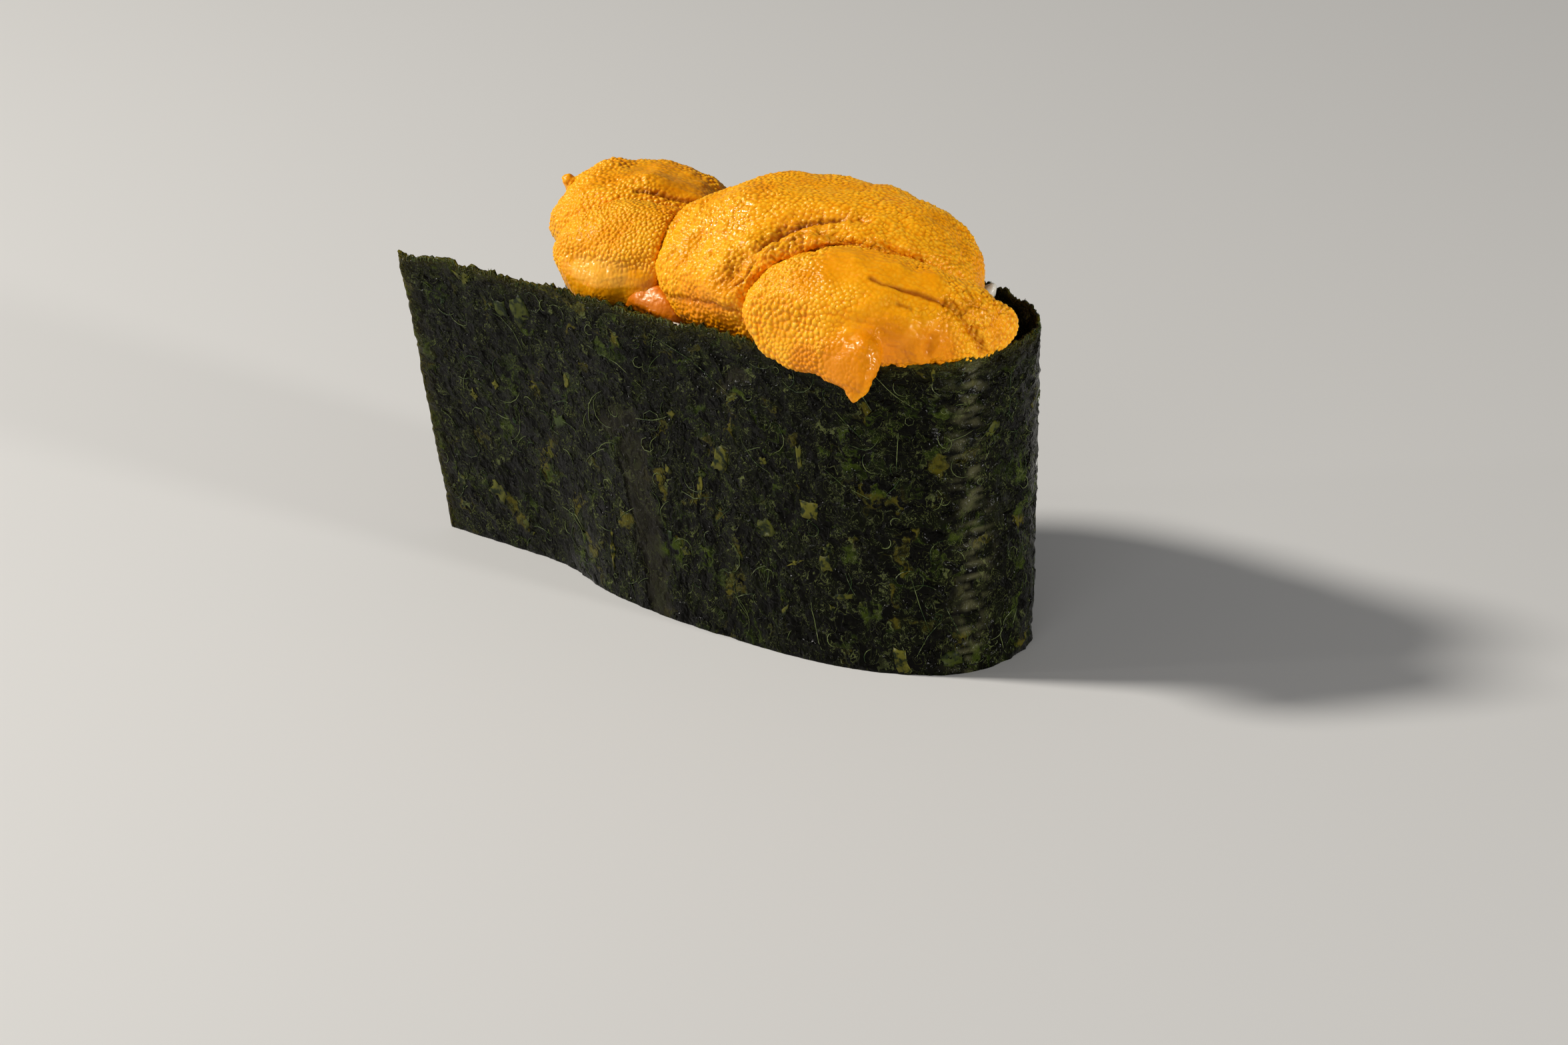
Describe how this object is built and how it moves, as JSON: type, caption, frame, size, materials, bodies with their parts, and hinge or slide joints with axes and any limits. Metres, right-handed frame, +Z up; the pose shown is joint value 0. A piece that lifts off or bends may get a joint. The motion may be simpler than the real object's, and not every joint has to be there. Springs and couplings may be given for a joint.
{
  "type": "sea urchin gunkan sushi",
  "caption": "Gunkan sushi: a rice block wrapped upright in a nori strip with a loose flap, heaped with lobes of orange sea urchin, one sagging over the rim in a drip.",
  "frame": {"origin": "centre of the bounding box in plan, at the base that rests on the table", "axes": "+X along the long side of the nori loop, away from the loose flap; +Y from the front face with the overlap and the drip towards the back; +Z up"},
  "size_m": [0.0662, 0.0306, 0.0439],
  "materials": {
    "nori": "dry toasted seaweed sheet, near-black green, crinkled, faint satin sheen",
    "rice": "moist cooked short grain rice, off-white, slightly translucent",
    "uni": "wet granular sea urchin roe, yellow orange, soft glow under the surface",
    "uni_deep": "wet sea urchin roe, deeper orange red, smooth"
  },
  "bodies": {
    "root": {"nori": "nori", "rice": "rice", "uni_front": "uni", "uni_center": "uni", "uni_left": "uni", "uni_back": "uni", "uni_tucked": "uni_deep"}
  },
  "joints": []
}
